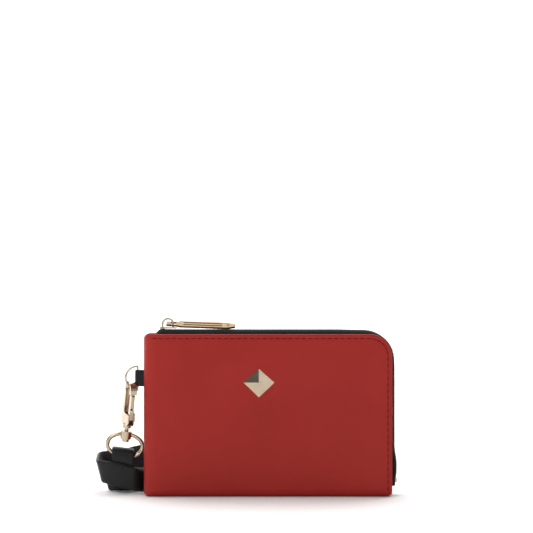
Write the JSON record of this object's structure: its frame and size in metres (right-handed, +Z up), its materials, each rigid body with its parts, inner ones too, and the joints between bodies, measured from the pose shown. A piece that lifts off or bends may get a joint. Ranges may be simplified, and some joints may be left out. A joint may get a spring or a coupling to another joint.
{
  "type": "wristlet wallet",
  "caption": "Flat leather wallet with an L-shaped zip on top and side, a faceted metal badge, and a wrist strap clipped to a side ring by a swivel clasp",
  "frame": {"origin": "centre of the wallet's base, on the surface that it stands on", "axes": "+X right as seen from the badge side, +Y to the back, +Z up"},
  "size_m": [0.1833, 0.0397, 0.1077],
  "materials": {
    "red_leather": "smooth nappa leather with a soft sheen",
    "black_leather": "black nappa leather, semi-matt",
    "stiffener": "foam-backed board",
    "lining": "woven polyester lining",
    "zip_tape": "woven zip tape",
    "zip_metal": "pale gold plated teeth",
    "pale_gold": "polished pale gold plate on zinc",
    "steel_wire": "spring wire"
  },
  "bodies": {
    "wallet": {"front_panel_base": "red_leather", "back_panel": "red_leather", "seam_welt": "red_leather", "front_stiffener_base": "stiffener", "back_stiffener": "stiffener", "front_lining_base": "lining", "back_lining": "lining", "centre_divider": "stiffener", "card_pocket_1": "black_leather", "card_pocket_2": "black_leather", "card_pocket_3": "black_leather", "tape_back": "zip_tape", "teeth_back": "zip_metal", "top_stop_front": "zip_metal", "top_stop_back": "zip_metal", "bottom_stop": "zip_metal", "side_tab": "black_leather", "badge": "pale_gold", "badge_pin_left": "pale_gold", "badge_pin_right": "pale_gold", "badge_washer": "pale_gold"},
    "flap": {"front_panel_flap": "red_leather", "front_stiffener_flap": "stiffener", "front_lining_flap": "lining", "tape_front": "zip_tape", "teeth_front": "zip_metal"},
    "slider": {"slider_body": "pale_gold", "slider_bridge": "pale_gold"},
    "pull": {"pull_tab": "pale_gold"},
    "ring": {"d_ring": "pale_gold"},
    "clasp": {"clasp_body": "pale_gold", "gate_pin": "pale_gold", "gate_spring": "steel_wire", "swivel_rivet": "pale_gold"},
    "gate": {"clasp_gate": "pale_gold"},
    "swivel": {"swivel_loop": "pale_gold"},
    "strap": {"strap_tab": "black_leather", "strap_loop_end": "black_leather", "strap_lanes": "black_leather"}
  },
  "joints": [
    {"name": "slider_travel", "type": "slide", "parent": "wallet", "child": "slider", "axis": [1, 0, 0], "range_m": [0, 0.112], "deforming": ["teeth_front", "teeth_back"]},
    {"name": "pull_swing", "type": "hinge", "parent": "slider", "child": "pull", "pos_m": [-0.0605, 0, 0.1039], "axis": [-0.0119, -0.9397, -0.3418], "range_deg": [0, 165]},
    {"name": "corner_opening", "type": "hinge", "parent": "wallet", "child": "flap", "pos_m": [-0.022, -0.01, 0.098], "axis": [0.7793, 0, -0.6267], "range_deg": [0, 30], "deforming": ["tape_front"]},
    {"name": "ring_swing", "type": "hinge", "parent": "wallet", "child": "ring", "pos_m": [-0.0789, 0, 0.071], "axis": [0, 0, 1], "range_deg": [0, 35]},
    {"name": "clasp_swing", "type": "hinge", "parent": "ring", "child": "clasp", "pos_m": [-0.08293, 0, 0.06503], "axis": [0.9094, 0.4154, -0.0221], "range_deg": [0, 50]},
    {"name": "gate_opening", "type": "hinge", "parent": "clasp", "child": "gate", "pos_m": [-0.0834, 0.00004, 0.04619], "axis": [-0.9094, -0.4154, 0.0221], "range_deg": [0, 15], "stiffness_Nm_per_rad": 0.02, "springref_deg": -11.46},
    {"name": "swivel_turn", "type": "hinge", "parent": "clasp", "child": "swivel", "pos_m": [-0.0858, 0.005, 0.0407], "axis": [0.115, -0.2, 0.973], "range_deg": [0, 110]},
    {"name": "strap_swing", "type": "hinge", "parent": "swivel", "child": "strap", "pos_m": [-0.08801, 0.00884, 0.02202], "axis": [0.9931, 0, -0.1174], "range_deg": [0, 60], "deforming": ["strap_tab", "strap_loop_end", "strap_lanes"]}
  ]
}
